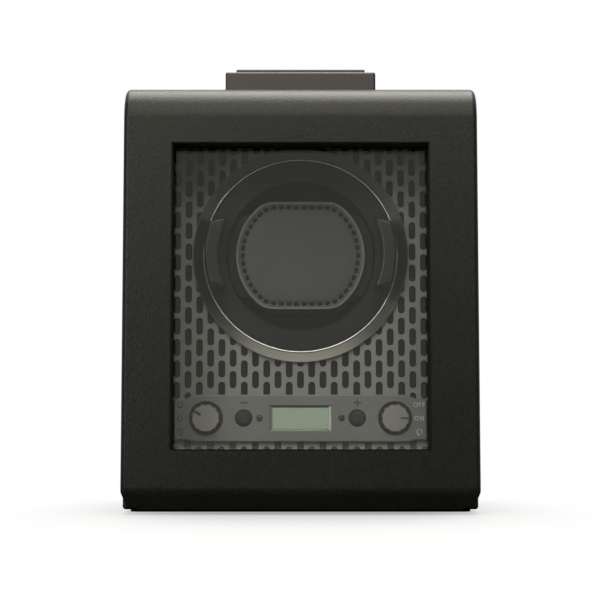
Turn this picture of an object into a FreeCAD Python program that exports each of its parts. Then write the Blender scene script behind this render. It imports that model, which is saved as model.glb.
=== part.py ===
import FreeCAD, Part
import math
import os
import re
import Sketcher
from FreeCAD import Rotation, Vector

# A single watch winder box: leather covered case and drop front, perforated
# face, rotating drum with a watch cuff, control strip and lift latch.
# Millimetres. X is to the right, Y goes to the back, Z is up, and the table is Z = 0.

doc = FreeCAD.newDocument("WatchWinderBox")

# Driving sizes
SIZES = {
    "case_width": 172.0,
    "case_depth": 184.0,
    "case_height": 208.6,
    "case_wall": 8.0,
    "edge_round": 2.5,
    "roll_radius": 17.0,
    "foot_height": 1.2,
    "foot_width": 14.0,
    "foot_inset": 3.5,
    "plinth_reach": 2.0,
    "plinth_top": 9.4,
    "plinth_setback": 0.7,
    "plinth_round": 1.6,
    "floor_board": 6.0,
    "panel_fit": 0.4,
    "back_board": 6.0,
    "back_recess": 2.0,
    "batten": 10.0,
    "door_thickness": 28.0,
    "door_gap": 0.8,
    "door_lift": 2.2,
    "bevel_rise": 8.8,
    "bevel_run": 5.0,
    "bevel_round": 8.0,
    "heel_rise": 7.4,
    "heel_run": 4.4,
    "corner_rise": 8.7,
    "corner_run": 3.5,
    "window_width": 124.0,
    "top_rail": 29.7,
    "window_bottom": 30.9,
    "liner_wall": 0.6,
    "liner_setback": 0.5,
    "reveal_depth": 10.0,
    "glass_border": 4.5,
    "gasket_thickness": 0.8,
    "gasket_setback": 0.2,
    "glass_thickness": 3.0,
    "retainer_thickness": 1.5,
    "pivot_back": 13.0,
    "pivot_rise": 12.6,
    "pin_radius": 2.0,
    "pin_reach": 12.0,
    "pocket_gap": 0.6,
    "bush_wall": 1.5,
    "running_gap": 0.05,
    "boss_radius": 4.5,
    "bracket_width": 7.0,
    "bracket_gap": 0.5,
    "tongue_thickness": 4.8,
    "tongue_length": 19.0,
    "screw_radius": 1.4,
    "screw_head": 2.8,
    "screw_head_height": 1.6,
    "screw_cover": 1.0,
    "head_gap": 0.1,
    "board_screw": 13.0,
    "latch_width": 75.0,
    "latch_depth": 26.0,
    "latch_rise": 10.2,
    "latch_overhang": 8.0,
    "latch_clearance": 0.9,
    "latch_round": 1.2,
    "lift_width": 64.4,
    "lift_thickness": 1.8,
    "lift_inset": 2.2,
    "lift_round": 0.7,
    "bolt_width": 24.0,
    "bolt_thickness": 3.0,
    "bolt_bite": 2.0,
    "bolt_inset": 2.4,
    "slide_gap": 0.4,
    "strike_thickness": 2.4,
    "strike_margin": 4.4,
    "strike_lip": 1.2,
    "bumper_drop": 30.0,
    "post_radius": 2.4,
    "post_head": 4.4,
    "post_rise": 1.2,
    "post_foot": 1.6,
    "spring_wall": 1.2,
    "spring_roof": 2.0,
    "face_depth": 48.0,
    "sheet_thickness": 1.0,
    "backing_thickness": 4.0,
    "face_margin": 0.6,
    "hole_pitch_across": 5.73,
    "hole_pitch_up": 10.92,
    "hole_width": 3.5,
    "hole_length": 8.8,
    "hole_border": 12.5,
    "hole_web": 0.5,
    "hole_row_offset": 63.6,
    "drum_lift": 21.6,
    "bezel_outer": 55.0,
    "bezel_lip": 49.2,
    "bezel_wall": 1.2,
    "bezel_proud": 2.2,
    "bezel_edge": 0.3,
    "bezel_land": 0.5,
    "drum_gap": 0.6,
    "drum_flange": 2.5,
    "drum_mouth": 38.5,
    "drum_wall": 2.5,
    "drum_length": 45.0,
    "drum_base": 3.0,
    "hub_radius": 8.0,
    "hub_length": 4.5,
    "grip_inner": 41.0,
    "grip_rise": 17.0,
    "grip_inner_half": 17.6,
    "grip_outer_half": 14.4,
    "grip_round": 1.6,
    "grip_screw": 9.0,
    "cuff_radius": 33.0,
    "cuff_half_height": 27.7,
    "cuff_crown_radius": 420.0,
    "cuff_pad_thickness": 5.5,
    "cuff_proud": 2.5,
    "cuff_round": 1.6,
    "cuff_keel_radius": 38.1,
    "cuff_core_half_height": 22.0,
    "cuff_core_length": 30.0,
    "cuff_core_round": 3.0,
    "shaft_radius": 3.0,
    "shaft_overhang": 2.4,
    "clip_thickness": 1.2,
    "clip_wall": 2.0,
    "module_gap": 7.0,
    "module_thickness": 3.0,
    "module_side_gap": 6.0,
    "module_margin": 20.0,
    "standoff_radius": 3.5,
    "standoff_inset": 4.0,
    "standoff_up": 50.0,
    "bearing_wall": 2.0,
    "bearing_flange": 2.0,
    "pulley_radius": 20.0,
    "pulley_width": 8.0,
    "pulley_gap": 4.0,
    "groove_depth": 3.0,
    "motor_drop": 75.0,
    "motor_radius": 14.0,
    "motor_length": 32.0,
    "motor_shaft": 1.5,
    "motor_seat": 10.0,
    "motor_gap": 1.0,
    "motor_screw": 9.0,
    "motor_pulley_radius": 7.0,
    "belt_thickness": 1.6,
    "belt_width": 3.0,
    "belt_gap": 0.4,
    "strip_width": 128.0,
    "strip_height": 23.9,
    "strip_rise": 15.4,
    "strip_thickness": 3.5,
    "strip_shoulder": 54.0,
    "strip_slope": 4.5,
    "strip_drop": 2.2,
    "strip_drop_low": 1.0,
    "strip_round": 6.0,
    "strip_edge": 0.8,
    "rim_round": 0.4,
    "knob_across": 47.9,
    "knob_radius": 7.1,
    "knob_proud": 3.0,
    "knob_gap": 0.4,
    "knob_edge": 0.5,
    "well_gap": 1.4,
    "well_depth": 1.8,
    "flute_radius": 1.5,
    "flute_out": 0.9,
    "stem_radius": 3.0,
    "stem_gap": 0.5,
    "button_across": 28.8,
    "button_radius": 4.0,
    "button_proud": 1.2,
    "button_gap": 0.35,
    "button_collar": 0.8,
    "button_travel": 1.0,
    "button_depth": 1.4,
    "button_dome": 1.2,
    "collar_gap": 0.3,
    "pusher_radius": 2.0,
    "pusher_reach": 1.0,
    "pusher_gap": 0.4,
    "lamp_across": 20.8,
    "lamp_radius": 1.5,
    "lamp_proud": 0.7,
    "lamp_seat": 2.0,
    "lcd_width": 29.6,
    "lcd_height": 11.2,
    "lcd_recess": 0.8,
    "lcd_rim": 0.8,
    "lcd_thickness": 1.4,
    "switch_side": 13.0,
    "switch_depth": 8.0,
    "switch_floor": 2.0,
    "turn_gap": 0.1,
    "stem_clearance": 0.6,
    "board_thickness": 1.6,
    "board_margin": 6.0,
    "jack_across": 48.0,
    "jack_rise": 36.0,
    "jack_radius": 5.5,
    "jack_bore": 3.2,
    "jack_length": 14.0,
    "jack_pin": 1.0,
}

sizes = doc.addObject("Spreadsheet::Sheet", "Sizes")
for row, (word, value) in enumerate(SIZES.items(), 1):
    sizes.set(f"A{row}", word)
    sizes.set(f"B{row}", str(value))
    sizes.setAlias(f"B{row}", word)
doc.recompute()

# Places that follow from the driving sizes
places = doc.addObject("App::FeaturePython", "Places")
OWNERS = dict.fromkeys(SIZES, "Sizes")
WORD = re.compile(r"[a-z_]+")


def formula(text):
    """A formula in plain names, with each name pointed at the object that holds it."""
    def owned(match):
        name = match.group()
        return f"{OWNERS[name]}.{name}" if name in OWNERS else name
    return WORD.sub(owned, text)


def place(name, text):
    """A named place, bound to the sizes it follows from."""
    places.addProperty("App::PropertyFloat", name)
    places.setExpression(name, formula(text))
    places.recompute()
    OWNERS[name] = "Places"


ruler = doc.addObject("App::FeaturePython", "Ruler")
ruler.addProperty("App::PropertyFloat", "reading")


def number(text):
    """The present value of a formula."""
    ruler.setExpression("reading", formula(text))
    ruler.recompute()
    return ruler.reading


place("case_half", "case_width / 2")
place("front", "-case_depth / 2")
place("back", "case_depth / 2")
place("door_back", "front + door_thickness")
place("case_front", "door_back + door_gap")
place("inner_half", "case_half - case_wall")
place("plinth_half", "case_half + plinth_reach")
place("floor_top", "plinth_top + floor_board")
place("ceiling", "case_height - case_wall")
place("plinth_front", "case_front + plinth_setback")
place("plinth_back", "back - plinth_setback")
place("back_inside", "back - back_recess - back_board")
place("window_top", "case_height - top_rail")
place("ledge", "front + reveal_depth")
place("glass_front", "ledge + gasket_thickness")
place("glass_back", "glass_front + glass_thickness")
place("pivot_y", "front + pivot_back")
place("bracket_out", "case_half - bracket_gap")
place("bracket_in", "bracket_out - bracket_width")
place("pocket_in", "bracket_in - bracket_gap")
place("tongue_bottom", "plinth_top - tongue_thickness")
place("tongue_back", "case_front + tongue_length")
place("swing_reach", "pivot_rise - tongue_bottom + pocket_gap")
place("bush_radius", "pin_radius + running_gap + bush_wall")
place("bush_end", "bracket_in - pin_reach - bracket_gap")
place("latch_front", "case_front - latch_overhang - door_gap")
place("latch_back", "latch_front + latch_depth")
place("latch_top", "case_height + latch_rise")
place("bolt_front", "latch_front + bolt_inset")
place("bolt_back", "bolt_front + bolt_thickness")
place("strike_front", "bolt_front - slide_gap - strike_lip")
place("post_y", "(case_front + latch_back) / 2")
place("post_shoulder", "case_height + post_rise")
place("spring_bottom", "post_shoulder + post_foot")
place("spring_top", "latch_top - spring_roof")
place("face", "front + face_depth")
place("backing_front", "face + sheet_thickness")
place("backing_back", "backing_front + backing_thickness")
place("cutout", "bezel_lip + bezel_wall")
place("drum_rise", "(floor_top + ceiling) / 2 + drum_lift")
place("drum_front", "face + sheet_thickness")
place("flange_back", "drum_front + drum_flange")
place("drum_outer", "bezel_lip - drum_gap")
place("cup_back", "drum_front + drum_length")
place("drum_back", "cup_back + drum_base")
place("hub_back", "drum_back + hub_length")
place("grip_front", "drum_front - grip_rise")
place("cuff_front", "drum_front - cuff_proud")
place("cuff_core_front", "cuff_front + cuff_pad_thickness")
place("cuff_core_back", "cuff_core_front + cuff_core_length")
place("module_front", "drum_back + module_gap")
place("module_back", "module_front + module_thickness")
place("module_half", "inner_half - batten - module_side_gap")
place("standoff_across", "module_half - standoff_inset")
place("bearing_radius", "shaft_radius + running_gap + bearing_wall")
place("pulley_front", "module_back + pulley_gap")
place("pulley_back", "pulley_front + pulley_width")
place("belt_middle", "(pulley_front + pulley_back) / 2")
place("motor_rise", "drum_rise - motor_drop")
place("rotor_front", "module_front - motor_seat + motor_gap")
place("strip_front", "face - strip_thickness")
place("strip_centre", "window_bottom + strip_rise")
place("strip_bottom", "strip_centre - strip_height / 2")
place("strip_top", "strip_centre + strip_height / 2")
place("well_floor", "strip_front + well_depth")
place("well_radius", "knob_radius + well_gap")
place("knob_back", "well_floor - knob_gap")
place("knob_front", "strip_front - knob_proud")
place("button_front", "strip_front - button_proud")
place("collar_front", "strip_front + button_depth")
place("switch_back", "backing_back + switch_depth")
place("stem_end", "switch_back - switch_floor - stem_clearance")
place("pusher_end", "backing_back + pusher_reach")
place("lcd_front", "strip_front + lcd_recess")
place("lcd_bottom", "strip_centre - lcd_height / 2")
place("lcd_top", "strip_centre + lcd_height / 2")
place("seat_bore", "stem_radius + stem_gap")


# Building blocks
def box(label, across, along, up):
    """A block between three pairs of places."""
    block = doc.addObject("Part::Box", label)
    for side, axis, (low, high) in zip(("Length", "Width", "Height"), "xyz", (across, along, up)):
        block.setExpression(side, formula(f"({high}) - ({low})"))
        block.setExpression(f"Placement.Base.{axis}", formula(low))
    return block


TURNS = {
    "x": Rotation(Vector(0, 1, 0), 90),
    "y": Rotation(Vector(1, 0, 0), -90),
    "z": Rotation(),
}


def rod(label, axis, centre, span, radius):
    """A round bar along one axis, between two places, about a centre on the other two axes."""
    bar = doc.addObject("Part::Cylinder", label)
    bar.Placement = FreeCAD.Placement(Vector(), TURNS[axis])
    bar.setExpression("Radius", formula(radius))
    bar.setExpression("Height", formula(f"({span[1]}) - ({span[0]})"))
    bar.setExpression(f"Placement.Base.{axis}", formula(span[0]))
    for other, text in zip("xyz".replace(axis, ""), centre):
        bar.setExpression(f"Placement.Base.{other}", formula(text))
    return bar


def join(label, *items):
    union = doc.addObject("Part::MultiFuse", label)
    union.Shapes = list(items)
    return union


def group(label, items):
    bunch = doc.addObject("Part::Compound", label)
    bunch.Links = list(items)
    return bunch


def cut(label, base, *tools):
    """A base less one or more tools."""
    removed = tools[0] if len(tools) == 1 else join(f"{label}_tools", *tools)
    rest = doc.addObject("Part::Cut", label)
    rest.Base = base
    rest.Tool = removed
    return rest


def common(label, *items):
    shared = doc.addObject("Part::MultiCommon", label)
    shared.Shapes = list(items)
    return shared


def rounded(label, base, radius, wanted):
    """A base with the edges that the test picks rounded to a size."""
    doc.recompute()
    soft = doc.addObject("Part::Fillet", label)
    soft.Base = base
    reach = number(radius)
    soft.Edges = [(index, reach, reach) for index, edge in enumerate(base.Shape.Edges, 1) if wanted(edge)]
    return soft


def lies(edge, **spots):
    """Whether every end of an edge sits at the given places."""
    for axis, text in spots.items():
        spot = number(text)
        if any(abs(getattr(vertex, axis.upper()) - spot) > 0.01 for vertex in edge.Vertexes):
            return False
    return True


def runs(edge, axis):
    """Whether an edge is straight and follows one axis."""
    if not isinstance(edge.Curve, Part.Line):
        return False
    return abs(getattr(edge.Curve.Direction, axis)) > 0.999


def outline(body, role, corners):
    """A closed outline on one of the body's own planes, each corner set by two formulas."""
    sketch = body.newObject("Sketcher::SketchObject", f"{body.Name}_outline")
    plane = next(item for item in body.Origin.OriginFeatures if item.Role == role)
    sketch.AttachmentSupport = (plane, [""])
    sketch.MapMode = "FlatFace"
    spots = [Vector(number(across), number(up), 0) for across, up in corners]
    for start, end in zip(spots, spots[1:] + spots[:1]):
        sketch.addGeometry(Part.LineSegment(start, end))
    for index, (across, up) in enumerate(corners):
        following = (index + 1) % len(corners)
        sketch.addConstraint(Sketcher.Constraint("Coincident", index, 2, following, 1))
        for kind, line, text in (("DistanceX", -2, across), ("DistanceY", -1, up)):
            if text == "0":
                sketch.addConstraint(Sketcher.Constraint("PointOnObject", index, 1, line))
                continue
            rule = Sketcher.Constraint(kind, -1, 1, index, 1, number(text))
            order = sketch.addConstraint(rule)
            sketch.setExpression(f"Constraints[{order}]", formula(text))
    return sketch


def turned(label, across, up, corners):
    """A solid of revolution about a line along Y; corners are radius and place along Y."""
    body = doc.addObject("PartDesign::Body", label)
    sketch = outline(body, "XY_Plane", corners)
    spin = body.newObject("PartDesign::Revolution", f"{label}_spin")
    spin.Profile = sketch
    spin.ReferenceAxis = (sketch, ["V_Axis"])
    spin.Angle = 360
    body.setExpression("Placement.Base.x", formula(across))
    body.setExpression("Placement.Base.z", formula(up))
    return body


def extruded(label, role, corners, length, centred=False):
    """A prism on one of the body's own planes."""
    body = doc.addObject("PartDesign::Body", label)
    pad = body.newObject("PartDesign::Pad", f"{label}_pad")
    pad.Profile = outline(body, role, corners)
    pad.setExpression("Length", formula(length))
    pad.Midplane = centred
    body.Tip = pad
    return body


def across(side, near, far):
    """The pair of X places of something on the right (1) or the left (-1)."""
    return (near, far) if side > 0 else (f"-({far})", f"-({near})")


def mirrored_pair(half):
    return (f"-({half})", half)


SIDES = (("left", -1), ("right", 1))
parts = []


def keep(*items):
    """Pieces that are handed on as sub-parts."""
    parts.extend(items)


# Base
plinth_block = box("plinth_block", mirrored_pair("plinth_half"), ("plinth_front", "plinth_back"),
                   ("foot_height", "plinth_top"))
plinth_soft = rounded("plinth_soft", plinth_block, "plinth_round", lambda edge: True)
plinth_tools = []
hinge_screw_solids = {name: [] for name, _ in SIDES}
for name, side in SIDES:
    plinth_tools.append(box(f"tongue_slot_{name}", across(side, "bracket_in", "bracket_out"),
                            ("plinth_front - 1", "tongue_back"), ("tongue_bottom", "plinth_top + 1")))
    for order, step in enumerate(("tongue_length * 0.35", "tongue_length * 0.75")):
        spot = (f"{side} * (bracket_in + bracket_out) / 2", f"case_front + {step}")
        head = rod(f"hinge_screw_head_{name}_{order}", "z", spot,
                   ("foot_height", "foot_height + screw_head_height"), "screw_head")
        shank = rod(f"hinge_screw_shank_{name}_{order}", "z", spot,
                    ("foot_height", "plinth_top - screw_cover"), "screw_radius")
        hinge_screw_solids[name].append(join(f"hinge_screw_{name}_{order}", head, shank))
all_hinge_screws = hinge_screw_solids["left"] + hinge_screw_solids["right"]
base_plinth = cut("base_plinth", plinth_soft, *plinth_tools, *all_hinge_screws)
hinge_screws = group("hinge_screws", all_hinge_screws)
keep(base_plinth, hinge_screws)

foot_spans = {
    "front_foot_strip": ("plinth_front + plinth_round", "plinth_front + plinth_round + foot_width"),
    "rear_foot_strip": ("plinth_back - plinth_round - foot_width", "plinth_back - plinth_round"),
}
for label, span in foot_spans.items():
    strip = box(f"{label}_block", mirrored_pair("plinth_half - foot_inset"), span, ("0", "foot_height"))
    keep(rounded(label, strip, "foot_width * 0.35", lambda edge: runs(edge, "z")))

# Case
shell_block = box("shell_block", mirrored_pair("case_half"), ("case_front", "back"),
                  ("plinth_top", "case_height"))
shell_soft = rounded("shell_soft", shell_block, "edge_round",
                     lambda edge: lies(edge, z="case_height") and runs(edge, "y")
                     or lies(edge, y="back") and not lies(edge, z="plinth_top"))
shell_room = box("shell_room", mirrored_pair("inner_half"), ("case_front - 1", "back + 1"),
                 ("plinth_top - 1", "ceiling"))
latch_screw_solids = []
for name, side in SIDES:
    spot = (f"{side} * latch_width * 0.38", "post_y")
    head = rod(f"latch_screw_head_{name}", "z", spot, ("ceiling", "ceiling + screw_head_height"),
               "screw_head")
    shank = rod(f"latch_screw_shank_{name}", "z", spot,
                ("ceiling", "case_height + latch_rise * 0.6"), "screw_radius")
    latch_screw_solids.append(join(f"latch_screw_{name}", head, shank))
case_shell = cut("case_shell", shell_soft, shell_room, *latch_screw_solids)
floor_board = box("floor_board_panel", mirrored_pair("inner_half"), ("case_front", "back_inside"),
                  ("plinth_top", "floor_top"))
latch_screws = group("latch_screws", latch_screw_solids)
keep(case_shell, floor_board, latch_screws)

batten_solids = []
for name, side in SIDES:
    for end, span in (("front", ("backing_back", "backing_back + batten")),
                      ("back", ("back_inside - batten", "back_inside"))):
        batten_solids.append(box(f"batten_{end}_{name}", across(side, "inner_half - batten", "inner_half"),
                                 span, ("floor_top", "ceiling")))


def screw_row(label, spots, seat, sense, length):
    """Flush screws along Y, driven from the seat to the back (+) or to the front (-)."""
    solids = []
    for order, spot in enumerate(spots):
        spans = [(seat, f"{seat} {sense} {reach}") for reach in (length, "screw_head_height")]
        if sense == "-":
            spans = [span[::-1] for span in spans]
        shank = rod(f"{label}_shank_{order}", "y", spot, spans[0], "screw_radius")
        head = rod(f"{label}_head_{order}", "y", spot, spans[1], "screw_head")
        solids.append(join(f"{label}_{order}", shank, head))
    return solids


rim_spots = [(f"{side} * (inner_half - batten / 2)", f"floor_top + (ceiling - floor_top) * {part}")
             for _, side in SIDES for part in (0.1, 0.5, 0.9)]
back_screw_solids = screw_row("back_screw", rim_spots, "back - back_recess", "-", "board_screw")
face_screw_solids = screw_row("face_screw", rim_spots, "backing_front", "+", "board_screw")

jack_spot = ("jack_across", "jack_rise")
jack_barrel = rod("jack_barrel", "y", jack_spot, ("back - back_recess - jack_length", "back - back_recess"),
                  "jack_radius")
jack_hole = rod("jack_hole", "y", jack_spot, ("back - back_recess - jack_length * 0.7", "back"),
                "jack_bore")
jack_pin = rod("jack_pin", "y", jack_spot,
               ("back - back_recess - jack_length * 0.8", "back - back_recess - 1"), "jack_pin")
dc_jack = join("dc_jack", cut("jack_socket", jack_barrel, jack_hole), jack_pin)

back_board = box("back_blank", mirrored_pair("inner_half - panel_fit"),
                 ("back_inside", "back - back_recess"), ("plinth_top", "ceiling - panel_fit"))
back_opening = rod("back_opening", "y", jack_spot, ("back_inside - 1", "back"), "jack_radius")
back_panel = cut("back_panel", back_board, back_opening, *back_screw_solids)
battens = cut("case_battens", group("batten_set", batten_solids), *back_screw_solids, *face_screw_solids)
keep(back_panel, group("board_screws", back_screw_solids + face_screw_solids), dc_jack, battens)

# Door hinge
pin_solids = []
for name, side in SIDES:
    pivot = ("pivot_y", "pivot_rise")
    boss = rod(f"boss_{name}", "x", pivot, across(side, "bracket_in", "bracket_out"), "boss_radius")
    web = box(f"web_{name}", across(side, "bracket_in", "bracket_out"), ("pivot_y", "case_front - slide_gap"),
              ("tongue_bottom", "pivot_rise"))
    tongue = box(f"tongue_{name}", across(side, "bracket_in", "bracket_out"), ("pivot_y", "tongue_back"),
                 ("tongue_bottom", "plinth_top"))
    pin = rod(f"pin_{name}", "x", pivot, across(side, "bracket_in - pin_reach", "bracket_out"),
              "pin_radius")
    bracket = join(f"bracket_blank_{name}", boss, web, tongue)
    pin_solids.append(pin)
    keep(cut(f"hinge_bracket_{name}", bracket, pin, *hinge_screw_solids[name]))
keep(group("hinge_pins", pin_solids))

# Door
door_corners = [
    ("front", "door_lift + bevel_rise"),
    ("front + bevel_run", "door_lift"),
    ("door_back - heel_run", "door_lift"),
    ("door_back", "door_lift + heel_rise"),
    ("door_back", "case_height"),
    ("front", "case_height"),
]
door_slab = extruded("door_slab", "YZ_Plane", door_corners, "case_width", centred=True)
door_roll = rounded("door_roll", door_slab, "roll_radius",
                    lambda edge: lies(edge, y="front", z="case_height"))
door_bevel = rounded("door_bevel", door_roll, "bevel_round",
                     lambda edge: lies(edge, y="front", z="door_lift + bevel_rise"))
door_soft = rounded("door_soft", door_bevel, "edge_round",
                    lambda edge: (lies(edge, x="case_half") or lies(edge, x="-case_half"))
                    and not lies(edge, y="door_back")
                    and edge.BoundBox.ZMin > number("door_lift + bevel_rise") - 0.1)
door_tools = [
    box("door_opening", mirrored_pair("window_width / 2 + liner_wall"), ("front - 1", "door_back + 1"),
        ("window_bottom - liner_wall", "window_top + liner_wall")),
    box("door_rebate", mirrored_pair("window_width / 2 + glass_border"), ("ledge", "door_back + 1"),
        ("window_bottom - glass_border", "window_top + glass_border")),
    box("strike_seat", mirrored_pair("bolt_width / 2 + strike_margin"),
        ("strike_front", "door_back + 1"),
        ("case_height - strike_thickness", "case_height + 1")),
]
for name, side in SIDES:
    corner = extruded(f"corner_{name}", "XZ_Plane", [
        (f"{side} * (case_half + 1)", "door_lift + corner_rise + corner_rise / corner_run"),
        (f"{side} * (case_half - corner_run - 1)", "door_lift - corner_rise / corner_run"),
        (f"{side} * (case_half + 1)", "door_lift - corner_rise / corner_run"),
    ], "door_thickness + 2")
    corner.setExpression("Placement.Base.y", formula("door_back + 1"))
    door_tools.append(corner)
    door_tools.append(box(f"pivot_pocket_{name}", across(side, "pocket_in", "case_half + 1"),
                          ("pivot_y - swing_reach", "door_back + 1"),
                          ("0", "pivot_rise + boss_radius + bracket_gap")))
    door_tools.append(rod(f"bush_hole_{name}", "x", ("pivot_y", "pivot_rise"),
                          across(side, "bush_end", "pocket_in + 1"), "bush_radius"))
door_panel = cut("door_panel", door_soft, *door_tools)
keep(door_panel)

bush_solids = []
for name, side in SIDES:
    sleeve = rod(f"sleeve_{name}", "x", ("pivot_y", "pivot_rise"),
                 across(side, "bush_end", "pocket_in"), "bush_radius")
    sleeve_bore = rod(f"sleeve_bore_{name}", "x", ("pivot_y", "pivot_rise"),
                      across(side, "bush_end - 1", "pocket_in + 1"), "pin_radius + running_gap")
    bush_solids.append(cut(f"pivot_bush_{name}", sleeve, sleeve_bore))
keep(group("pivot_bushes", bush_solids))


def frame(label, span, outer, inner):
    """A rectangular frame about the window, outer and inner measured out from the window edge."""
    def slab(name, reach, depth):
        return box(name, mirrored_pair(f"window_width / 2 + {reach}"), depth,
                   (f"window_bottom - ({reach})", f"window_top + {reach}"))
    whole = slab(f"{label}_blank", outer, span)
    hole = slab(f"{label}_hole", inner, (f"{span[0]} - 1", f"{span[1]} + 1"))
    return cut(label, whole, hole)


window_liner = frame("window_liner", ("front + liner_setback", "ledge"), "liner_wall", "0")
glass_gasket = frame("glass_gasket", ("ledge", "glass_front"), "glass_border", "gasket_setback")
door_glass = box("door_glass", mirrored_pair("window_width / 2 + glass_border"),
                 ("glass_front", "glass_back"),
                 ("window_bottom - glass_border", "window_top + glass_border"))
glass_retainer = frame("glass_retainer", ("glass_back", "glass_back + retainer_thickness"),
                       "glass_border", "0")
keep(window_liner, glass_gasket, door_glass, glass_retainer)

strike_plate = box("strike_plate", mirrored_pair("bolt_width / 2 + strike_margin"),
                   ("strike_front", "door_back"), ("case_height - strike_thickness", "case_height"))
strike_slot = box("strike_slot", mirrored_pair("bolt_width / 2 + slide_gap"),
                  ("bolt_front - slide_gap", "bolt_back + slide_gap"),
                  ("case_height - strike_thickness - 1", "case_height + 1"))
keep(cut("door_strike", strike_plate, strike_slot))
bumper_solids = [rod(f"bumper_{name}", "y",
                     (f"{side} * (case_half - case_wall / 2)", "case_height - bumper_drop"),
                     ("door_back", "case_front"), "case_wall * 0.35") for name, side in SIDES]
keep(group("door_bumpers", bumper_solids))

# Latch
housing_block = box("housing_block", mirrored_pair("latch_width / 2"), ("latch_front", "latch_back"),
                    ("case_height", "latch_top"))
housing_soft = rounded("housing_soft", housing_block, "latch_round",
                       lambda edge: not lies(edge, z="case_height"))
housing_tools = [
    box("housing_undercut", mirrored_pair("latch_width / 2 + 1"), ("latch_front - 1", "case_front"),
        ("case_height - 1", "case_height + latch_clearance")),
    box("bolt_way", mirrored_pair("bolt_width / 2 + slide_gap"),
        ("bolt_front - slide_gap", "bolt_back + slide_gap"), ("case_height - 1", "latch_top + 1")),
    rod("post_way", "z", ("0", "post_y"), ("case_height - 1", "latch_top + 1"), "post_radius + slide_gap"),
    rod("spring_room", "z", ("0", "post_y"), ("case_height - 1", "spring_top"), "post_head + slide_gap"),
]
latch_housing = cut("latch_housing", housing_soft, *housing_tools, *latch_screw_solids)
latch_bolt = box("latch_bolt", mirrored_pair("bolt_width / 2"), ("bolt_front", "bolt_back"),
                 ("case_height - bolt_bite", "latch_top"))
lift_block = box("lift_block", mirrored_pair("lift_width / 2"),
                 ("latch_front + lift_inset", "latch_back - lift_inset"),
                 ("latch_top", "latch_top + lift_thickness"))
latch_plate = rounded("latch_plate", lift_block, "lift_round", lambda edge: not lies(edge, z="latch_top"))
latch_post = join("latch_post",
                  rod("post_stem", "z", ("0", "post_y"), ("post_shoulder", "latch_top"), "post_radius"),
                  rod("post_foot", "z", ("0", "post_y"), ("post_shoulder", "spring_bottom"), "post_head"))
spring_sleeve = rod("spring_sleeve", "z", ("0", "post_y"), ("spring_bottom", "spring_top"),
                    "post_radius + slide_gap + spring_wall")
spring_bore = rod("spring_bore", "z", ("0", "post_y"), ("spring_bottom - 1", "spring_top + 1"),
                  "post_radius + slide_gap")
latch_spring = cut("latch_spring", spring_sleeve, spring_bore)
keep(latch_housing, latch_bolt, latch_plate, latch_post, latch_spring)

# Face
face_bottom, face_top = "floor_top + face_margin", "ceiling - face_margin"
face_half = "inner_half - face_margin"
control_spots = [(f"{side} * {reach}", "strip_centre")
                 for _, side in SIDES for reach in ("knob_across", "button_across")]


def slot_wire(x, z):
    """One upright slot of the perforated sheet, with round ends."""
    half = number("hole_width") / 2
    rise = (number("hole_length") - number("hole_width")) / 2
    level = number("face")

    def spot(across, up):
        return Vector(x + across, level, z + up)
    upper = Part.Arc(spot(half, rise), spot(0, rise + half), spot(-half, rise))
    lower = Part.Arc(spot(-half, -rise), spot(0, -rise - half), spot(half, -rise))
    left = Part.LineSegment(upper.EndPoint, lower.StartPoint)
    right = Part.LineSegment(lower.EndPoint, upper.StartPoint)
    return Part.Wire([curve.toShape() for curve in (upper, left, lower, right)])


def slot_centres():
    """Staggered slot centres over the field, with one column on the drum line."""
    pitch_x, pitch_z = number("hole_pitch_across"), number("hole_pitch_up")
    first = number("drum_rise - hole_row_offset")
    low, high = number(f"{face_bottom} + hole_border / 2"), number(f"{face_top} - hole_border / 2")
    reach = number("hole_length") / 2
    columns = int(number("inner_half - hole_border") / pitch_x)
    for column in range(-columns, columns + 1):
        start = first + (column % 2) * pitch_z / 2
        row = math.ceil((low + reach - start) / pitch_z)
        while start + row * pitch_z + reach <= high:
            yield column * pitch_x, start + row * pitch_z
            row += 1


def perforated_sheet():
    """The face sheet: slots all over but behind the strip and inside the drum opening."""
    level, thickness = number("face"), number("sheet_thickness")
    reach, half = number("hole_length") / 2, number("hole_width") / 2
    rise, radius = number("drum_rise"), number("cutout")
    strip_low, strip_high = number("strip_bottom"), number("strip_top")
    shoulder = number("strip_shoulder")
    drop, drop_low = number("strip_drop"), number("strip_drop_low")
    opening_edge = radius + number("hole_web")
    whole, broken = [], []
    for x, z in slot_centres():
        past = abs(x) > shoulder
        low = strip_low - half + (drop_low if past else 0.0)
        high = strip_high + half - (drop if past else 0.0)
        if low < z - reach and z + reach < high:
            continue
        off = max(0.0, abs(z - rise) - (reach - half))
        near = math.hypot(x, off) - half
        far = math.hypot(x, abs(z - rise) + reach - half) + half
        if near > opening_edge:
            whole.append(slot_wire(x, z))
        elif far > opening_edge:
            broken.append(slot_wire(x, z))
    wide, low, high = number(face_half), number(face_bottom), number(face_top)
    rim = Part.makePolygon([Vector(-wide, level, low), Vector(wide, level, low), Vector(wide, level, high),
                            Vector(-wide, level, high), Vector(-wide, level, low)])
    opening = Part.Wire(Part.makeCircle(radius, Vector(0, level, rise), Vector(0, 1, 0)))
    stem_centres = [Vector(number(x), level, number(z)) for x, z in control_spots]
    stems = [Part.Wire(Part.makeCircle(number("seat_bore"), centre, Vector(0, 1, 0)))
             for centre in stem_centres]
    sheet_face = Part.makeFace([rim, opening, *stems, *whole], "Part::FaceMakerBullseye")
    blank = sheet_face.extrude(Vector(0, thickness, 0))
    notches = [Part.Face(wire).extrude(Vector(0, thickness, 0)) for wire in broken]
    return blank.cut(notches) if notches else blank


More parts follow.
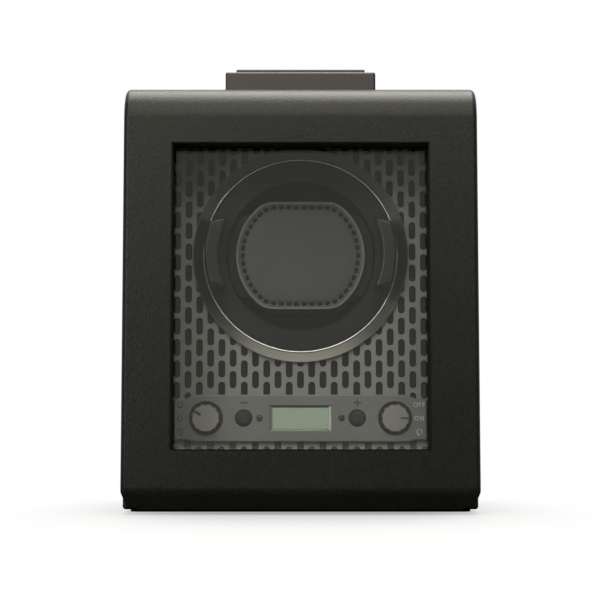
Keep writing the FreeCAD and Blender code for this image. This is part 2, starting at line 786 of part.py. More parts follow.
face_sheet = doc.addObject("Part::Feature", "face_plate_blank")
face_sheet.Shape = perforated_sheet()
face_hole_solids = [rod(f"sheet_hole_{order}", "y", spot, ("face - 1", "backing_front + 1"),
                        "screw_head + head_gap") for order, spot in enumerate(rim_spots)]
face_plate = cut("face_plate", face_sheet, *face_hole_solids)
backing_blank = box("backing_blank", mirrored_pair(face_half), ("backing_front", "backing_back"),
                    (face_bottom, face_top))
backing_tools = [rod("backing_opening", "y", ("0", "drum_rise"), ("face", "backing_back + 1"), "cutout")]
backing_tools += [rod(f"backing_stem_{order}", "y", spot, ("face", "backing_back + 1"), "seat_bore")
                  for order, spot in enumerate(control_spots)]
face_backing = cut("face_backing", backing_blank, *backing_tools, *face_screw_solids)
drum_bezel = turned("drum_bezel", "0", "drum_rise", [
    ("bezel_outer", "face"),
    ("bezel_outer", "face - bezel_proud"),
    ("bezel_outer - bezel_edge", "face - bezel_proud"),
    ("bezel_lip", "backing_front - bezel_land"),
    ("bezel_lip", "backing_back"),
    ("cutout", "backing_back"),
    ("cutout", "face"),
])
keep(face_plate, face_backing, drum_bezel)

# Drum and cuff
cup_blank = turned("cup_blank", "0", "drum_rise", [
    ("drum_outer", "drum_front"),
    ("drum_outer", "flange_back"),
    ("drum_mouth + drum_wall", "flange_back"),
    ("drum_mouth + drum_wall", "drum_back"),
    ("hub_radius", "drum_back"),
    ("hub_radius", "hub_back"),
    ("shaft_radius", "hub_back"),
    ("shaft_radius", "cup_back"),
    ("drum_mouth", "cup_back"),
    ("drum_mouth", "drum_front"),
])
drum_shaft = rod("drum_shaft", "y", ("0", "drum_rise"), ("cup_back", "pulley_back + shaft_overhang"),
                 "shaft_radius")
grip_screw_solids = []
for name, side in SIDES:
    wedge = extruded(f"grip_wedge_{name}", "XZ_Plane", [
        (f"{side} * (grip_inner - 6)", "grip_inner_half"),
        (f"{side} * grip_inner", "grip_inner_half"),
        (f"{side} * (drum_outer + 1)", "grip_outer_half"),
        (f"{side} * (drum_outer + 1)", "-grip_outer_half"),
        (f"{side} * grip_inner", "-grip_inner_half"),
        (f"{side} * (grip_inner - 6)", "-grip_inner_half"),
    ], "grip_rise")
    wedge.setExpression("Placement.Base.y", formula("drum_front"))
    wedge.setExpression("Placement.Base.z", formula("drum_rise"))
    rim = rod(f"grip_rim_{name}", "y", ("0", "drum_rise"), ("grip_front - 1", "drum_front"), "drum_outer")
    bore = rod(f"grip_bore_{name}", "y", ("0", "drum_rise"), ("grip_front - 2", "drum_front + 1"),
               "grip_inner")
    ring_part = common(f"grip_ring_{name}", wedge, rim)
    blank = cut(f"grip_blank_{name}", ring_part, bore)
    soft = rounded(f"grip_soft_{name}", blank, "grip_round", lambda edge: lies(edge, y="grip_front"))
    spot = (f"{side} * (grip_inner + drum_outer) / 2", "drum_rise")
    shank = rod(f"grip_shank_{name}", "y", spot, ("drum_front - grip_screw", "flange_back"), "screw_radius")
    head = rod(f"grip_head_{name}", "y", spot, ("flange_back", "flange_back + screw_head_height"),
               "screw_head")
    screw = join(f"grip_screw_{name}", shank, head)
    grip_screw_solids.append(screw)
    keep(cut(f"drum_grip_{name}", soft, screw))
drum_cup = cut("drum_cup", cup_blank, *grip_screw_solids)
keep(drum_cup, drum_shaft, group("grip_screws", grip_screw_solids))

pad_disc = rod("pad_disc", "y", ("0", "drum_rise"), ("cuff_front", "cuff_core_front"), "cuff_radius")
pad_band = box("pad_band", mirrored_pair("cuff_radius + 1"), ("cuff_front", "cuff_core_front"),
               ("drum_rise - cuff_half_height", "drum_rise + cuff_half_height"))
crown_ball = doc.addObject("Part::Sphere", "crown_ball")
crown_ball.setExpression("Radius", formula("cuff_crown_radius"))
crown_ball.setExpression("Placement.Base.y", formula("cuff_front + cuff_crown_radius"))
crown_ball.setExpression("Placement.Base.z", formula("drum_rise"))
pad_blank = common("pad_blank", pad_disc, pad_band, crown_ball)
cuff_front_pad = rounded("cuff_front_pad", pad_blank, "cuff_round",
                         lambda edge: not lies(edge, y="cuff_core_front") and not runs(edge, "y"))
cuff_rear_pad = doc.addObject("Part::Mirroring", "cuff_rear_pad")
cuff_rear_pad.Source = cuff_front_pad
cuff_rear_pad.Normal = Vector(0, 1, 0)
cuff_rear_pad.setExpression("Base.y", formula("(cuff_core_front + cuff_core_back) / 2"))
core_round = rod("core_round", "y", ("0", "drum_rise"), ("cuff_core_front", "cuff_core_back"),
                 "cuff_keel_radius")
core_band = box("core_band", mirrored_pair("cuff_keel_radius + 1"), ("cuff_core_front", "cuff_core_back"),
                ("drum_rise - cuff_core_half_height", "drum_rise + cuff_core_half_height"))
core_blank = common("core_blank", core_round, core_band)
cuff_core = rounded("cuff_core", core_blank, "cuff_core_round", lambda edge: runs(edge, "y"))
keep(cuff_front_pad, cuff_core, cuff_rear_pad)

# Drive
module_blank = box("module_blank", mirrored_pair("module_half"), ("module_front", "module_back"),
                   ("motor_rise - module_margin", "drum_rise + standoff_up + module_margin / 2"))
module_tools = [
    rod("bearing_hole", "y", ("0", "drum_rise"), ("module_front - 1", "module_back + 1"), "bearing_radius"),
    rod("motor_hole", "y", ("0", "motor_rise"), ("module_front - 1", "module_back + 1"),
        "motor_shaft + motor_gap"),
]
motor_screw_spots = [(f"{side} * motor_radius * 0.6", "motor_rise") for _, side in SIDES]
motor_screw_solids = screw_row("motor_screw", motor_screw_spots, "module_back + screw_head_height", "-",
                               "motor_screw")
module_plate = cut("module_plate", module_blank, *module_tools, *motor_screw_solids)
standoff_spots = [(f"{side} * standoff_across", f"drum_rise + {rise} * standoff_up")
                  for _, side in SIDES for rise in (-1, 1)]
module_standoffs = group("module_standoffs", [
    rod(f"standoff_{order}", "y", spot, ("backing_back", "module_front"), "standoff_radius")
    for order, spot in enumerate(standoff_spots)])
drum_bush = turned("drum_bush", "0", "drum_rise", [
    ("shaft_radius + running_gap", "module_front - bearing_flange"),
    ("bearing_radius + bearing_flange", "module_front - bearing_flange"),
    ("bearing_radius + bearing_flange", "module_front"),
    ("bearing_radius", "module_front"),
    ("bearing_radius", "module_back + bearing_flange"),
    ("shaft_radius + running_gap", "module_back + bearing_flange"),
])
motor_can = rod("motor_can", "y", ("0", "motor_rise"), ("module_front - motor_length", "module_front"),
                "motor_radius")
motor_bore = rod("motor_bore", "y", ("0", "motor_rise"), ("module_front - motor_seat", "module_front + 1"),
                 "motor_shaft + running_gap")
motor = cut("gear_motor", motor_can, motor_bore, *motor_screw_solids)
keep(module_plate, module_standoffs, drum_bush, motor, group("motor_screws", motor_screw_solids))


def pulley(label, rise, radius, bore):
    """A pulley with a square groove for the belt."""
    groove = f"{radius} - groove_depth"
    half = "(belt_width / 2 + belt_gap)"
    return turned(label, "0", rise, [
        (bore, "pulley_front"),
        (radius, "pulley_front"),
        (radius, f"belt_middle - {half}"),
        (groove, f"belt_middle - {half}"),
        (groove, f"belt_middle + {half}"),
        (radius, f"belt_middle + {half}"),
        (radius, "pulley_back"),
        (bore, "pulley_back"),
    ])


drum_pulley = pulley("drum_pulley", "drum_rise", "pulley_radius", "shaft_radius")
motor_pulley = pulley("motor_pulley", "motor_rise", "motor_pulley_radius", "motor_shaft")
rotor_shaft = rod("motor_rotor_shaft", "y", ("0", "motor_rise"), ("rotor_front", "pulley_back"),
                  "motor_shaft")
clip_ring = rod("clip_ring", "y", ("0", "drum_rise"), ("pulley_back", "pulley_back + clip_thickness"),
                "shaft_radius + clip_wall")
keep(drum_pulley, motor_pulley, rotor_shaft, cut("shaft_clip", clip_ring, drum_shaft))


def belt_wire(grow):
    """The open-sided run of the belt round both pulleys, grown outward from the groove floor."""
    top, low = number("drum_rise"), number("motor_rise")
    level = number("belt_middle - belt_width / 2")
    big = number("pulley_radius - groove_depth") + grow
    small = number("motor_pulley_radius - groove_depth") + grow
    slope = (big - small) / (top - low)
    side = math.sqrt(1 - slope * slope)

    def tangent(radius, rise, sign):
        return Vector(sign * radius * side, level, rise - radius * slope)
    over = Part.Arc(tangent(big, top, -1), Vector(0, level, top + big), tangent(big, top, 1))
    under = Part.Arc(tangent(small, low, 1), Vector(0, level, low - small), tangent(small, low, -1))
    runs_down = Part.LineSegment(over.EndPoint, under.StartPoint)
    runs_up = Part.LineSegment(under.EndPoint, over.StartPoint)
    return Part.Wire([over.toShape(), runs_down.toShape(), under.toShape(), runs_up.toShape()])


drive_belt = doc.addObject("Part::Feature", "drive_belt")
belt_gap = number("belt_gap")
belt_loop = [belt_wire(belt_gap + number("belt_thickness")), belt_wire(belt_gap)]
belt_face = Part.makeFace(belt_loop, "Part::FaceMakerBullseye")
drive_belt.Shape = belt_face.extrude(Vector(0, number("belt_width"), 0))
keep(drive_belt)

# Control strip
neck = "(strip_shoulder + strip_slope)"
neck_high, neck_low = "strip_height / 2 - strip_drop", "-(strip_height / 2 - strip_drop_low)"
strip_right = [
    ("strip_shoulder", "-strip_height / 2"),
    (neck, neck_low),
    ("strip_width / 2", neck_low),
    ("strip_width / 2", neck_high),
    (neck, neck_high),
    ("strip_shoulder", "strip_height / 2"),
]
strip_left = [(f"-{x}", z) for x, z in reversed(strip_right)]
strip_blank = extruded("strip_blank", "XZ_Plane", strip_right + strip_left, "strip_thickness")
strip_blank.setExpression("Placement.Base.y", formula("face"))
strip_blank.setExpression("Placement.Base.z", formula("strip_centre"))
strip_soft = rounded("strip_soft", strip_blank, "strip_round",
                     lambda edge: runs(edge, "y") and abs(edge.Vertexes[0].X) < number(neck) + 0.1)
strip_pillow = rounded("strip_pillow", strip_soft, "strip_edge", lambda edge: lies(edge, y="strip_front"))
strip_tools = [
    box("lcd_bezel_pocket", mirrored_pair("lcd_width / 2 + lcd_rim"), ("strip_front - 1", "lcd_front"),
        ("lcd_bottom - lcd_rim", "lcd_top + lcd_rim")),
    box("lcd_pocket", mirrored_pair("lcd_width / 2"), ("strip_front - 1", "lcd_front + lcd_thickness"),
        ("lcd_bottom", "lcd_top")),
]
lamp_solids = []
switch_solids = []
pusher_solids = []
for name, side in SIDES:
    knob_spot = (f"{side} * knob_across", "strip_centre")
    button_spot = (f"{side} * button_across", "strip_centre")
    lamp_spot = (f"{side} * lamp_across", "strip_centre")
    strip_tools += [
        rod(f"knob_hole_{name}", "y", knob_spot, ("strip_front - 1", "face + 1"), "seat_bore"),
        rod(f"knob_well_{name}", "y", knob_spot, ("strip_front - 1", "well_floor"), "well_radius"),
        rod(f"button_hole_{name}", "y", button_spot, ("strip_front - 1", "face + 1"),
            "button_radius + button_gap"),
        rod(f"collar_room_{name}", "y", button_spot, ("collar_front - collar_gap", "face + 1"),
            "button_radius + button_collar + 2 * button_gap"),
    ]
    stem = rod(f"lamp_stem_{name}", "y", lamp_spot, ("strip_front - lamp_proud", "face - lamp_seat"),
               "lamp_radius")
    lamp_solids.append(rounded(f"lamp_{name}", stem, "lamp_radius * 0.45",
                               lambda edge: lies(edge, y="strip_front - lamp_proud")))
    for kind, spot, bore, end, solids in (
            ("rotary", knob_spot, "stem_radius + turn_gap", "switch_back - switch_floor", switch_solids),
            ("push", button_spot, "pusher_radius + pusher_gap", "pusher_end + button_travel + pusher_gap",
             pusher_solids)):
        x, z = spot
        shell = box(f"{kind}_shell_{name}", (f"{x} - switch_side / 2", f"{x} + switch_side / 2"),
                    ("backing_back", "switch_back"), (f"{z} - switch_side / 2", f"{z} + switch_side / 2"))
        way = rod(f"{kind}_way_{name}", "y", spot, ("backing_back - 1", end), bore)
        solids.append(cut(f"{kind}_switch_{name}", shell, way))
panel_blank = cut("panel_blank", strip_pillow, *strip_tools, *lamp_solids)


def is_rim(edge):
    """Whether an edge is the front rim of an opening in the strip."""
    reach, centre = number("well_radius") + 0.1, number("strip_centre")
    room = edge.BoundBox
    inside = max(abs(room.XMin), abs(room.XMax)) < number("knob_across") + reach
    level = max(abs(room.ZMin - centre), abs(room.ZMax - centre)) < reach
    return lies(edge, y="strip_front") and inside and level


control_panel = rounded("control_panel", panel_blank, "rim_round", is_rim)
lcd_window = box("lcd_window", mirrored_pair("lcd_width / 2"), ("lcd_front", "lcd_front + lcd_thickness"),
                 ("lcd_bottom", "lcd_top"))
control_board = box("control_board", mirrored_pair("strip_width / 2 - board_margin"),
                    ("switch_back", "switch_back + board_thickness"), ("strip_bottom", "strip_top"))
keep(control_panel, lcd_window, group("indicator_lamps", lamp_solids), control_board,
     group("rotary_switches", switch_solids), group("push_switches", pusher_solids))

FLUTES = 12
for name, side in SIDES:
    spot = (f"{side} * knob_across", "strip_centre")
    blank = turned(f"knob_blank_{name}", *spot, [
        ("0", "knob_front"),
        ("knob_radius - knob_edge", "knob_front"),
        ("knob_radius", "knob_front + knob_edge"),
        ("knob_radius", "knob_back"),
        ("stem_radius", "knob_back"),
        ("stem_radius", "stem_end"),
        ("0", "stem_end"),
    ])
    flutes = [rod(f"flute_{name}_{order}", "y",
                  (f"{spot[0]} + (knob_radius + flute_out) * cos({order * 360 / FLUTES})",
                   f"{spot[1]} + (knob_radius + flute_out) * sin({order * 360 / FLUTES})"),
                  ("knob_front - 1", "knob_back + knob_gap / 2"), "flute_radius") for order in range(FLUTES)]
    keep(cut(f"knob_{name}", blank, *flutes))

for label, side in (("button_minus", -1), ("button_plus", 1)):
    keep(turned(label, f"{side} * button_across", "strip_centre", [
        ("0", "button_front"),
        ("button_radius * 0.6", "button_front + button_dome * 0.11"),
        ("button_radius * 0.875", "button_front + button_dome * 0.5"),
        ("button_radius", "button_front + button_dome"),
        ("button_radius", "collar_front"),
        ("button_radius + button_collar", "collar_front"),
        ("button_radius + button_collar", "collar_front + button_collar"),
        ("pusher_radius", "collar_front + button_collar"),
        ("pusher_radius", "pusher_end"),
        ("0", "pusher_end"),
    ]))

# Check every object, then write one file per sub-part
doc.recompute()
for item in doc.Objects:
    if "Invalid" in item.State or "Error" in item.State:
        raise RuntimeError(f"{item.Label} did not compute: {item.State}")
for item in parts:
    if item.Shape.isNull() or not item.Shape.isValid():
        raise RuntimeError(f"{item.Label} has no valid shape")
os.makedirs("parts", exist_ok=True)
for item in parts:
    item.Shape.exportStep(f"parts/{item.Label}.step")
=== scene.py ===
import math

import bmesh
import bpy
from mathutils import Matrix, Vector


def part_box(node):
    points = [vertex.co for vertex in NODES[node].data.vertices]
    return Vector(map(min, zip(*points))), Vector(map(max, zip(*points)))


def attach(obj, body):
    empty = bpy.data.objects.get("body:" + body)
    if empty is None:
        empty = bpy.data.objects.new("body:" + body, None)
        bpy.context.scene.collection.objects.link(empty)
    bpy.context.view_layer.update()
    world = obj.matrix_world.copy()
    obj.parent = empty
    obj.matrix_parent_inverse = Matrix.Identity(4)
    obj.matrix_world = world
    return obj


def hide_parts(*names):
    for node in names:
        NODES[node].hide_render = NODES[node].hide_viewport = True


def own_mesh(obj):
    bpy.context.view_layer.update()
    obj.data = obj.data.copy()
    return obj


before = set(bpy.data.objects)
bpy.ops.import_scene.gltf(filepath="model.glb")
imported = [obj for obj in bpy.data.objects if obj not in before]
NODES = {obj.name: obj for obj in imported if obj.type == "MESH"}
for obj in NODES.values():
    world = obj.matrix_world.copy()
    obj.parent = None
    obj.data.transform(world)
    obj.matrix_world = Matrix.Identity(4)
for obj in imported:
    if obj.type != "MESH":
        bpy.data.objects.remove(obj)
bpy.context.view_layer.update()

scene = bpy.context.scene
scene.view_settings.view_transform = "Standard"

# Places and sizes in the part's own frame, in metres
AXIS_Z = 0.1296
STRIP_FRONT = -0.0475
STRIP_Z = 0.0463
KNOB_X = 0.0479
KNOB_FRONT = -0.0505
WELL_RADIUS = 0.0086
BUTTON_X = 0.0288
PAD_BACK = -0.040
CORE_BACK = -0.010
PAD_HALF_WIDTH = 0.033
PAD_HALF_HEIGHT = 0.0277
CORE_HALF_WIDTH = 0.0380
CORE_HALF_HEIGHT = 0.0219
STITCH_RISE = 0.0044
WELT_RISE = 0.0042
SPRING_TURNS = 3
SPRING_WIRE = 0.0004
LIP_RADIUS = 0.0496
LIP_Y = -0.0437
LIP_THICKNESS = 0.0006
WELD_DISTANCE = 1e-6

# Sockets of the mix node, which has a set of them for each kind of data
MIX_SHARE = 0
FIRST_VALUE, SECOND_VALUE, MIXED_VALUE = 2, 3, 0
FIRST_COLOUR, SECOND_COLOUR, MIXED_COLOUR = 6, 7, 2


# Material helpers
class Shader:
    """A node material with one principled shader and short ways to add nodes to it."""

    def __init__(self, name, **values):
        self.material = bpy.data.materials.new(name)
        self.material.use_nodes = True
        self.tree = self.material.node_tree
        self.bsdf = self.tree.nodes["Principled BSDF"]
        self.surface = self.tree.nodes["Material Output"].inputs["Surface"]
        for socket, value in values.items():
            self.bsdf.inputs[socket.replace("_", " ")].default_value = value
        self.place = self.tree.nodes.new("ShaderNodeTexCoord").outputs["Object"]

    def node(self, kind, **values):
        """A new node; each value goes to the input of that name, or else to the node's own setting."""
        made = self.tree.nodes.new(kind)
        for key, value in values.items():
            if key in made.inputs:
                made.inputs[key].default_value = value
            else:
                setattr(made, key, value)
        return made

    def link(self, source, target):
        self.tree.links.new(source, target)

    def stretched(self, scale):
        """Object coordinates scaled along each axis."""
        mapping = self.node("ShaderNodeMapping", Scale=scale)
        self.link(self.place, mapping.inputs["Vector"])
        return mapping.outputs["Vector"]

    def noise(self, scale, detail=3.0, vector=None):
        noise = self.node("ShaderNodeTexNoise", Scale=scale, Detail=detail)
        self.link(vector or self.place, noise.inputs["Vector"])
        return noise.outputs["Fac"]

    def ramp(self, source, low, high):
        """A colour that runs from low to high over the middle of a value's range."""
        ramp = self.node("ShaderNodeValToRGB")
        for point, position, colour in zip(ramp.color_ramp.elements, (0.3, 0.7), (low, high)):
            point.position = position
            point.color = (*colour, 1.0)
        self.link(source, ramp.inputs["Fac"])
        return ramp.outputs["Color"]

    def colour(self, source, low, high):
        self.link(self.ramp(source, low, high), self.bsdf.inputs["Base Color"])

    def roughness(self, source, low, high):
        span = self.node("ShaderNodeMapRange")
        span.inputs["To Min"].default_value = low
        span.inputs["To Max"].default_value = high
        self.link(source, span.inputs["Value"])
        self.link(span.outputs["Result"], self.bsdf.inputs["Roughness"])

    def bump(self, heights, distance, strength):
        """Bumps stacked on one another; heights are height sources with their share of the distance."""
        normal = None
        for height, share in heights:
            bump = self.node("ShaderNodeBump", Strength=strength, Distance=distance * share)
            self.link(height, bump.inputs["Height"])
            if normal:
                self.link(normal, bump.inputs["Normal"])
            normal = bump.outputs["Normal"]
        self.link(normal, self.bsdf.inputs["Normal"])

    def mix_surface(self, share, first, second):
        """Makes the surface a mix of two shaders."""
        mix = self.node("ShaderNodeMixShader")
        for source, target in zip((share, first, second), mix.inputs):
            self.link(source, target)
        self.link(mix.outputs[0], self.surface)


def leather(name, low, high, grain=950.0, depth=0.00014, rough=(0.25, 0.33), **values):
    """Fine grained leather: small soft pebbles drawn a little lengthwise, over a slow change of tone."""
    skin = Shader(name, **values)
    pebbles = skin.noise(grain, detail=2.0, vector=skin.stretched((1.0, 1.0, 0.6)))
    pores = skin.noise(grain * 2.3, detail=2.0)
    tone = skin.node("ShaderNodeMix", data_type="FLOAT")
    tone.inputs[MIX_SHARE].default_value = 0.75
    skin.link(skin.noise(38.0, detail=5.0), tone.inputs[FIRST_VALUE])
    skin.link(pebbles, tone.inputs[SECOND_VALUE])
    skin.colour(tone.outputs[MIXED_VALUE], low, high)
    skin.roughness(skin.noise(160.0, detail=4.0), *rough)
    skin.bump([(pebbles, 1.0), (pores, 0.35)], distance=depth, strength=0.8)
    return skin.material


def metal(name, low, high, rough, stretch=(1.0, 1.0, 1.0), grain=900.0, metallic=1.0):
    """Satin metal with a fine drawn grain."""
    sheet = Shader(name, Metallic=metallic)
    lines = sheet.noise(grain, detail=4.0, vector=sheet.stretched(stretch))
    sheet.colour(lines, low, high)
    sheet.roughness(lines, *rough)
    return sheet.material


def moulded(name, low, high, rough, grain=1500.0, depth=0.00003, **values):
    """Moulded plastic, rubber or paint with a light texture."""
    shell = Shader(name, **values)
    texture = shell.noise(grain)
    shell.colour(shell.noise(60.0, detail=4.0), low, high)
    shell.roughness(texture, *rough)
    if depth:
        shell.bump([(texture, 1.0)], distance=depth, strength=0.35)
    return shell.material


CASE_LEATHER = leather("case_leather", (0.0062, 0.0062, 0.005), (0.0148, 0.0146, 0.0118),
                       rough=(0.34, 0.42), Specular_IOR_Level=0.25, Specular_Tint=(1.0, 0.985, 0.86, 1.0))
PLINTH_LEATHER = leather("plinth_leather", (0.009, 0.009, 0.008), (0.018, 0.0178, 0.0155),
                         rough=(0.4, 0.5), Specular_IOR_Level=0.3)
CUFF_LEATHER = leather("cuff_leather", (0.060, 0.060, 0.0545), (0.083, 0.082, 0.0745),
                       grain=1100.0, depth=0.00004, rough=(0.5, 0.62), Specular_IOR_Level=0.3)
# Painted highlight: the welt leather is much lighter than the pad leather, to show the lit line along the
# pad's edge
WELT_HIGHLIGHT_LEATHER = leather("welt_leather_painted_highlight", (0.15, 0.15, 0.138), (0.18, 0.179, 0.165), rough=(0.4, 0.5))
CORE_CLOTH = leather("cuff_cover", (0.018, 0.018, 0.016), (0.030, 0.029, 0.026),
                     grain=1000.0, rough=(0.75, 0.9), Specular_IOR_Level=0.2)
# Dark thread, made darker still as painted shade of the stitch holes
THREAD_AND_HOLE_SHADE = moulded("stitch_thread_and_hole_shade", (0.004, 0.004, 0.0035), (0.009, 0.009, 0.008),
                 rough=(0.7, 0.85), grain=5000.0, Specular_IOR_Level=0.2)
GUNMETAL = metal("gunmetal", (0.041, 0.0355, 0.030), (0.057, 0.049, 0.0415),
                 rough=(0.34, 0.42), stretch=(1.0, 12.0, 12.0), metallic=0.75)
BEZEL_METAL = metal("bezel_metal", (0.084, 0.079, 0.071), (0.097, 0.0915, 0.0825),
                    rough=(0.26, 0.32), grain=1600.0)
LIP_METAL = metal("lip_metal", (0.62, 0.59, 0.54), (0.70, 0.67, 0.61), rough=(0.14, 0.2), grain=1600.0)
FACE_METAL = metal("face_metal", (0.215, 0.202, 0.185), (0.25, 0.236, 0.216),
                   rough=(0.46, 0.54), stretch=(12.0, 1.0, 1.0), metallic=0.25)
KNOB_METAL = metal("knob_metal", (0.28, 0.257, 0.229), (0.325, 0.299, 0.267),
                   rough=(0.36, 0.44), grain=1800.0, metallic=0.6)
TRIM_METAL = metal("trim_metal", (0.27, 0.263, 0.243), (0.32, 0.31, 0.286),
                   rough=(0.3, 0.36), grain=1800.0, metallic=0.7)
STEEL = metal("plain_steel", (0.42, 0.42, 0.42), (0.58, 0.58, 0.57), rough=(0.25, 0.4))
BRASS = metal("bush_brass", (0.52, 0.38, 0.17), (0.66, 0.50, 0.25), rough=(0.25, 0.4))
BRACKET_PAINT = moulded("bracket_paint", (0.010, 0.010, 0.010), (0.018, 0.018, 0.017), rough=(0.35, 0.5))
LINER_BLACK = moulded("liner_black", (0.0035, 0.0035, 0.0034), (0.006, 0.006, 0.0058),
                      rough=(0.6, 0.75), Specular_IOR_Level=0.15)
DRUM_BLACK = moulded("drum_plastic", (0.0035, 0.0035, 0.0032), (0.006, 0.006, 0.0054),
                     rough=(0.38, 0.44), grain=400.0, depth=0.0, Specular_IOR_Level=0.2)
GRIP_BLACK = moulded("grip_plastic", (0.0035, 0.0035, 0.0032), (0.006, 0.006, 0.0054),
                     rough=(0.2, 0.24), grain=300.0, depth=0.0, Specular_IOR_Level=0.45)
BACKING_BLACK = moulded("backing_flock", (0.008, 0.008, 0.0072), (0.014, 0.014, 0.0125),
                        rough=(0.85, 0.95), depth=0.00008, Specular_IOR_Level=0.1)
RUBBER = moulded("black_rubber", (0.006, 0.006, 0.006), (0.011, 0.011, 0.011),
                 rough=(0.7, 0.85), Specular_IOR_Level=0.2)
BUTTON_RUBBER = moulded("button_rubber", (0.019, 0.019, 0.017), (0.027, 0.027, 0.0245),
                        rough=(0.6, 0.72), Specular_IOR_Level=0.3)
MARK_PRINT = moulded("mark_print", (0.42, 0.42, 0.39), (0.52, 0.51, 0.48), rough=(0.5, 0.65))
FAINT_PRINT = moulded("faint_print", (0.05, 0.05, 0.046), (0.07, 0.069, 0.064), rough=(0.5, 0.65))
DARK_PRINT = moulded("dark_print", (0.012, 0.012, 0.011), (0.02, 0.02, 0.018), rough=(0.5, 0.65))
LAMP_LENS = moulded("lamp_lens", (0.022, 0.020, 0.018), (0.034, 0.031, 0.028),
                    rough=(0.2, 0.3), Coat_Weight=0.2)
BOARD_GREEN = moulded("circuit_green", (0.012, 0.07, 0.035), (0.02, 0.10, 0.05), rough=(0.25, 0.4))


def strip_satin_and_well_shade():
    """Satin grey paint with painted shade: the colour turns near black down in the two knob wells."""
    paint = Shader("strip_satin_and_well_shade", Specular_IOR_Level=0.4)
    texture = paint.noise(1500.0)
    paint.roughness(texture, 0.38, 0.5)
    paint.bump([(texture, 1.0)], distance=0.00001, strength=0.35)
    folded = paint.node("ShaderNodeVectorMath", operation="ABSOLUTE")
    paint.link(paint.place, folded.inputs[0])
    flat = paint.node("ShaderNodeVectorMath", operation="MULTIPLY")
    flat.inputs[1].default_value = (1.0, 0.0, 1.0)
    paint.link(folded.outputs[0], flat.inputs[0])
    reach = paint.node("ShaderNodeVectorMath", operation="DISTANCE")
    reach.inputs[1].default_value = (KNOB_X, 0.0, STRIP_Z)
    paint.link(flat.outputs[0], reach.inputs[0])
    # Painted shade: inside the radius of each knob well the colour is swapped for near black
    inside = paint.node("ShaderNodeMath", operation="LESS_THAN")
    inside.inputs[1].default_value = WELL_RADIUS
    paint.link(reach.outputs["Value"], inside.inputs[0])
    grey = paint.ramp(paint.noise(60.0, detail=4.0), (0.163, 0.158, 0.146), (0.187, 0.181, 0.168))
    painted_well_shade = paint.ramp(texture, (0.006, 0.006, 0.0055), (0.011, 0.011, 0.010))
    tone = paint.node("ShaderNodeMix", data_type="RGBA")
    paint.link(inside.outputs[0], tone.inputs[MIX_SHARE])
    paint.link(grey, tone.inputs[FIRST_COLOUR])
    paint.link(painted_well_shade, tone.inputs[SECOND_COLOUR])
    paint.link(tone.outputs[MIXED_COLOUR], paint.bsdf.inputs["Base Color"])
    return paint.material


def wood_board():
    """Raw fibre board with a faint flake."""
    board = Shader("fibre_board", Roughness=0.8)
    flakes = board.noise(420.0, detail=6.0, vector=board.stretched((1.0, 0.35, 1.0)))
    board.colour(flakes, (0.17, 0.115, 0.07), (0.30, 0.21, 0.135))
    board.bump([(flakes, 1.0)], distance=0.0001, strength=0.4)
    return board.material


def window_glass(straight_share=0.04, steepness=5.0):
    """Clear pane that mirrors little of the room when seen straight on and more at a slant."""
    pane = Shader("window_glass")
    clear = pane.node("ShaderNodeBsdfTransparent", Color=(0.97, 0.975, 0.96, 1.0))
    mirror = pane.node("ShaderNodeBsdfGlossy", Roughness=0.03)
    uneven = pane.ramp(pane.noise(9.0, detail=2.0), (0.93, 0.95, 0.85), (0.98, 1.0, 0.90))
    pane.link(uneven, mirror.inputs["Color"])
    slant = pane.node("ShaderNodeLayerWeight", Blend=0.5)
    steep = pane.node("ShaderNodeMath", operation="POWER")
    steep.inputs[1].default_value = steepness
    pane.link(slant.outputs["Facing"], steep.inputs[0])
    share = pane.node("ShaderNodeMath", operation="MULTIPLY_ADD")
    share.inputs[1].default_value = 1.0 - straight_share
    share.inputs[2].default_value = straight_share
    pane.link(steep.outputs[0], share.inputs[0])
    pane.mix_surface(share.outputs[0], clear.outputs[0], mirror.outputs[0])
    pane.tree.nodes.remove(pane.bsdf)
    return pane.material


def display_glass():
    """Pale green reflective display with a faint line raster."""
    display = Shader("display_glass", Roughness=0.28, Specular_IOR_Level=0.5,
                     Coat_Weight=0.5, Coat_Roughness=0.08)
    raster = display.noise(1400.0, detail=1.0, vector=display.stretched((1.0, 1.0, 0.15)))
    display.colour(raster, (0.37, 0.465, 0.345), (0.405, 0.497, 0.375))
    return display.material


FINISHES = {
    CASE_LEATHER: "case_shell door_panel",
    PLINTH_LEATHER: "base_plinth back_panel",
    GUNMETAL: "latch_housing latch_plate latch_bolt latch_post door_strike",
    BEZEL_METAL: "drum_bezel",
    FACE_METAL: "face_plate",
    KNOB_METAL: "knob_left knob_right",
    STEEL: "hinge_screws latch_screws board_screws hinge_pins motor_screws grip_screws drum_shaft "
           "shaft_clip motor_rotor_shaft gear_motor",
    BRASS: "pivot_bushes drum_bush",
    BRACKET_PAINT: "hinge_bracket_left hinge_bracket_right module_plate module_standoffs",
    LINER_BLACK: "window_liner glass_retainer",
    DRUM_BLACK: "drum_cup drum_pulley motor_pulley rotary_switches push_switches dc_jack",
    GRIP_BLACK: "drum_grip_left drum_grip_right",
    BACKING_BLACK: "face_backing floor_board_panel",
    RUBBER: "front_foot_strip rear_foot_strip glass_gasket door_bumpers drive_belt",
    BUTTON_RUBBER: "button_minus button_plus",
    LAMP_LENS: "indicator_lamps",
    BOARD_GREEN: "control_board",
    strip_satin_and_well_shade(): "control_panel",
    wood_board(): "case_battens",
    window_glass(): "door_glass",
    display_glass(): "lcd_window",
}
for finish, names in FINISHES.items():
    for name in names.split():
        NODES[name].data.materials.clear()
        NODES[name].data.materials.append(finish)


